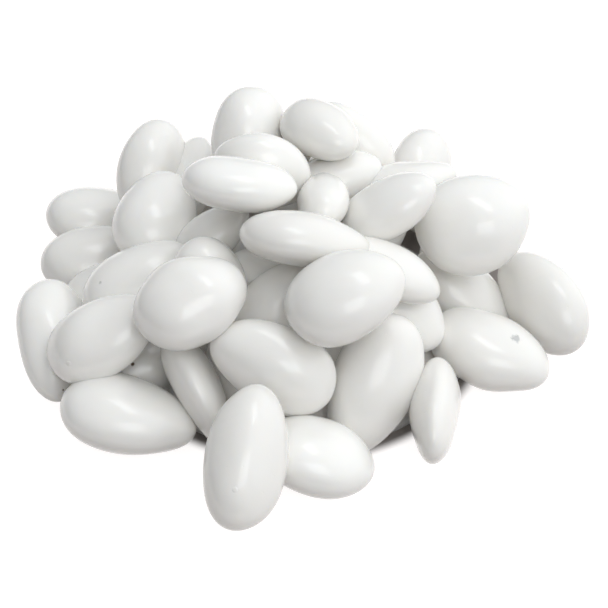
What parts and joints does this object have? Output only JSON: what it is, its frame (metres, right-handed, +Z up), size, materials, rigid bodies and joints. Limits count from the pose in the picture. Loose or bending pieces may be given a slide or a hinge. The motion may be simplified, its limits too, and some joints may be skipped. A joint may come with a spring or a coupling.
{
  "type": "heap of sugared almonds",
  "caption": "Loose heap of white sugared almonds in hard sugar shells, to stand on a table, plate or sweet counter as it lies.",
  "frame": {"origin": "middle of the bottom of the heap's bounding box, on the surface it lies on", "axes": "+Z up, -Y to the side that the picture shows, +X to the picture's right"},
  "size_m": [0.1298, 0.1328, 0.0498],
  "materials": {
    "sugar_shell": "satin"
  },
  "bodies": {
    "root": {"sugared_almond_heap": "sugar_shell"}
  },
  "joints": []
}
